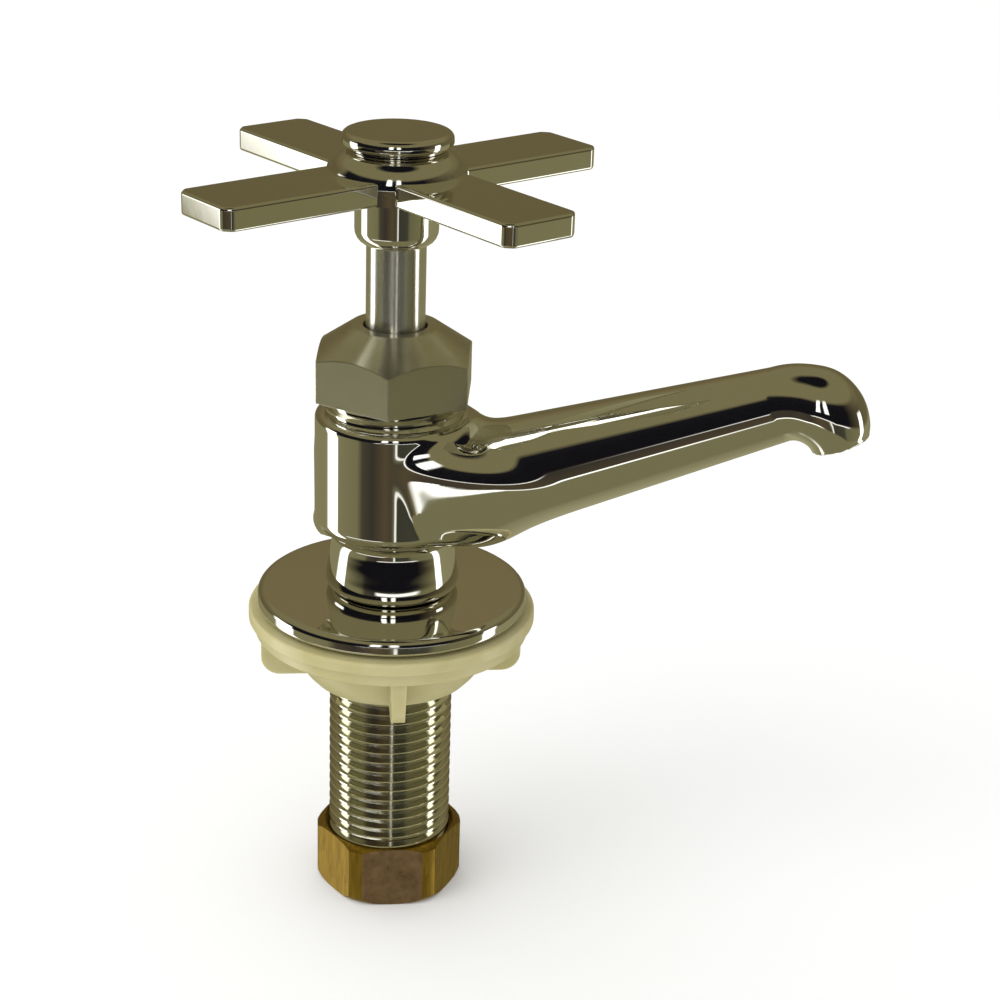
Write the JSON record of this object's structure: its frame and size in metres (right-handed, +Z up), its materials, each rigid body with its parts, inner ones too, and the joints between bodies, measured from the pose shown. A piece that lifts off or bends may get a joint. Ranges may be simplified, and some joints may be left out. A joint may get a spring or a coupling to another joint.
{
  "type": "basin pillar tap",
  "caption": "Pillar basin tap: cross handle on a rising spindle, slim angled spout, round deck flange, and a winged locknut and hexagon coupling nut on its screwed tail.",
  "frame": {"origin": "tap axis at the deck surface, which is the underside of the base flange", "axes": "+Z up along the spindle, +X along the spout, +Y completes a right-handed frame"},
  "size_m": [0.1102, 0.0662, 0.1331],
  "materials": {
    "chromed_casting": "polished chrome plate on cast brass",
    "chromed_flange": "polished chrome plate on pressed brass",
    "chromed_thread": "chrome plate over a cut thread",
    "chromed_spindle": "chrome plate on turned brass",
    "satin_chrome": "chrome plate over fine turning marks",
    "chromed_handle": "polished chrome plate on die casting",
    "chromed_cap": "polished chrome plate on moulded plastic",
    "plated_screw": "zinc plated",
    "turned_brass": "turned",
    "raw_brass": "drawn hexagon bar, tarnished",
    "ivory_nylon": "moulded, slightly see-through",
    "white_nylon": "moulded",
    "black_rubber": "matt",
    "red_fibre": "vulcanised fibre",
    "grey_packing": "graphite packing"
  },
  "bodies": {
    "tap_body": {"body_casting": "chromed_casting", "base_flange": "chromed_flange", "deck_gasket": "black_rubber", "threaded_shank": "chromed_thread", "valve_seat": "turned_brass", "spindle_bush": "turned_brass", "bonnet_gasket": "red_fibre", "packing_washer": "turned_brass", "packing_ring": "grey_packing", "bonnet_nut": "satin_chrome"},
    "washer_group": {"washer_carrier": "turned_brass", "seat_washer": "black_rubber", "washer_screw": "turned_brass"},
    "handle_group": {"spindle": "chromed_spindle", "cross_handle": "chromed_handle", "handle_screw": "plated_screw", "cap_button": "chromed_cap"},
    "locknut_washer_body": {"locknut_washer": "ivory_nylon"},
    "locknut_body": {"locknut": "ivory_nylon"},
    "tail_seals": {"cone_washer": "black_rubber", "friction_ring": "white_nylon"},
    "coupling_nut_body": {"coupling_nut": "raw_brass"}
  },
  "joints": [
    {"name": "spindle_lift", "type": "slide", "parent": "tap_body", "child": "washer_group", "axis": [0, 0, 1], "range_m": [0, 0.00508]},
    {"name": "handle_turn", "type": "hinge", "parent": "washer_group", "child": "handle_group", "pos_m": [0, 0, 0.0623], "axis": [0, 0, 1], "range_deg": [0, 720]},
    {"name": "locknut_travel", "type": "slide", "parent": "tap_body", "child": "locknut_washer_body", "axis": [0, 0, -1], "range_m": [0, 0.0254]},
    {"name": "locknut_turn", "type": "hinge", "parent": "locknut_washer_body", "child": "locknut_body", "pos_m": [0, 0, -0.0022], "axis": [0, 0, -1], "range_deg": [0, 5040]},
    {"name": "coupling_travel", "type": "slide", "parent": "tap_body", "child": "tail_seals", "axis": [0, 0, -1], "range_m": [0, 0.00454]},
    {"name": "coupling_turn", "type": "hinge", "parent": "tail_seals", "child": "coupling_nut_body", "pos_m": [0, 0, -0.0505], "axis": [0, 0, -1], "range_deg": [0, 900]}
  ],
  "couplings": [
    {"joint": "spindle_lift", "follows": "handle_turn", "m_per_rad": 0.00040425},
    {"joint": "locknut_travel", "follows": "locknut_turn", "m_per_rad": 0.00028871},
    {"joint": "coupling_travel", "follows": "coupling_turn", "m_per_rad": 0.00028871}
  ]
}
